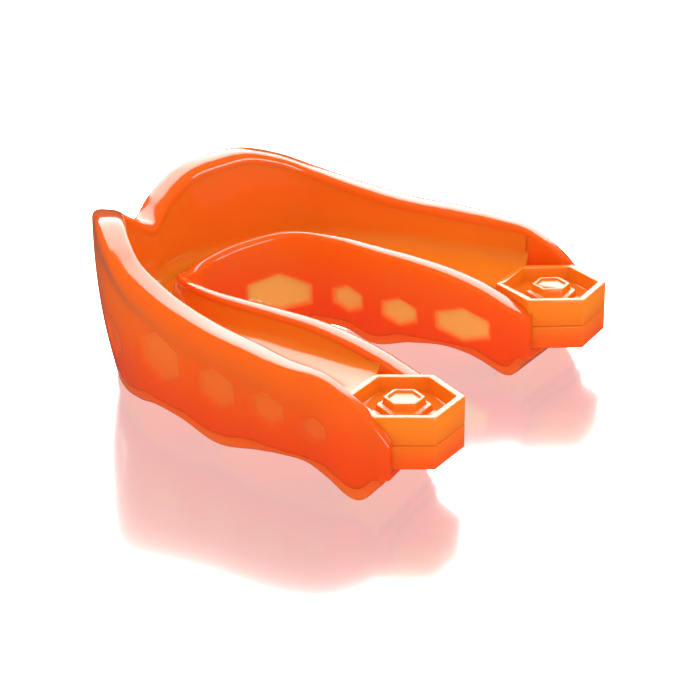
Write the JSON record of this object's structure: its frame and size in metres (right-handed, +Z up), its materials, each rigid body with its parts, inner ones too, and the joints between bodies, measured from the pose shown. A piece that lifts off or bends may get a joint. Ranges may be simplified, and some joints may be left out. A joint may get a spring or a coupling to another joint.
{
  "type": "mouthguard",
  "caption": "Boil-and-bite mouthguard for contact sports: U-shaped tooth trough with a windowed moulded frame, soft liner, bite pad and hexagonal end tabs.",
  "frame": {"origin": "middle of the footprint, on the surface that the guard stands on", "axes": "+X across the arch, towards the wearer's left; +Y towards the rear ends of the arms, so the lip side faces -Y; +Z up, towards the gums"},
  "size_m": [0.0616, 0.0614, 0.0246],
  "materials": {
    "frame_plastic": "glossy moulded",
    "liner_gel": "glossy soft gel",
    "core_rubber": "satin",
    "pad_rubber": "glossy moulded",
    "tab_plastic": "glossy moulded"
  },
  "bodies": {
    "root": {"outer_frame": "frame_plastic", "gel_liner": "liner_gel", "arch_core": "core_rubber", "bite_pad": "pad_rubber", "left_tab_cap": "tab_plastic", "left_tab_base": "tab_plastic", "right_tab_cap": "tab_plastic", "right_tab_base": "tab_plastic"}
  },
  "joints": []
}
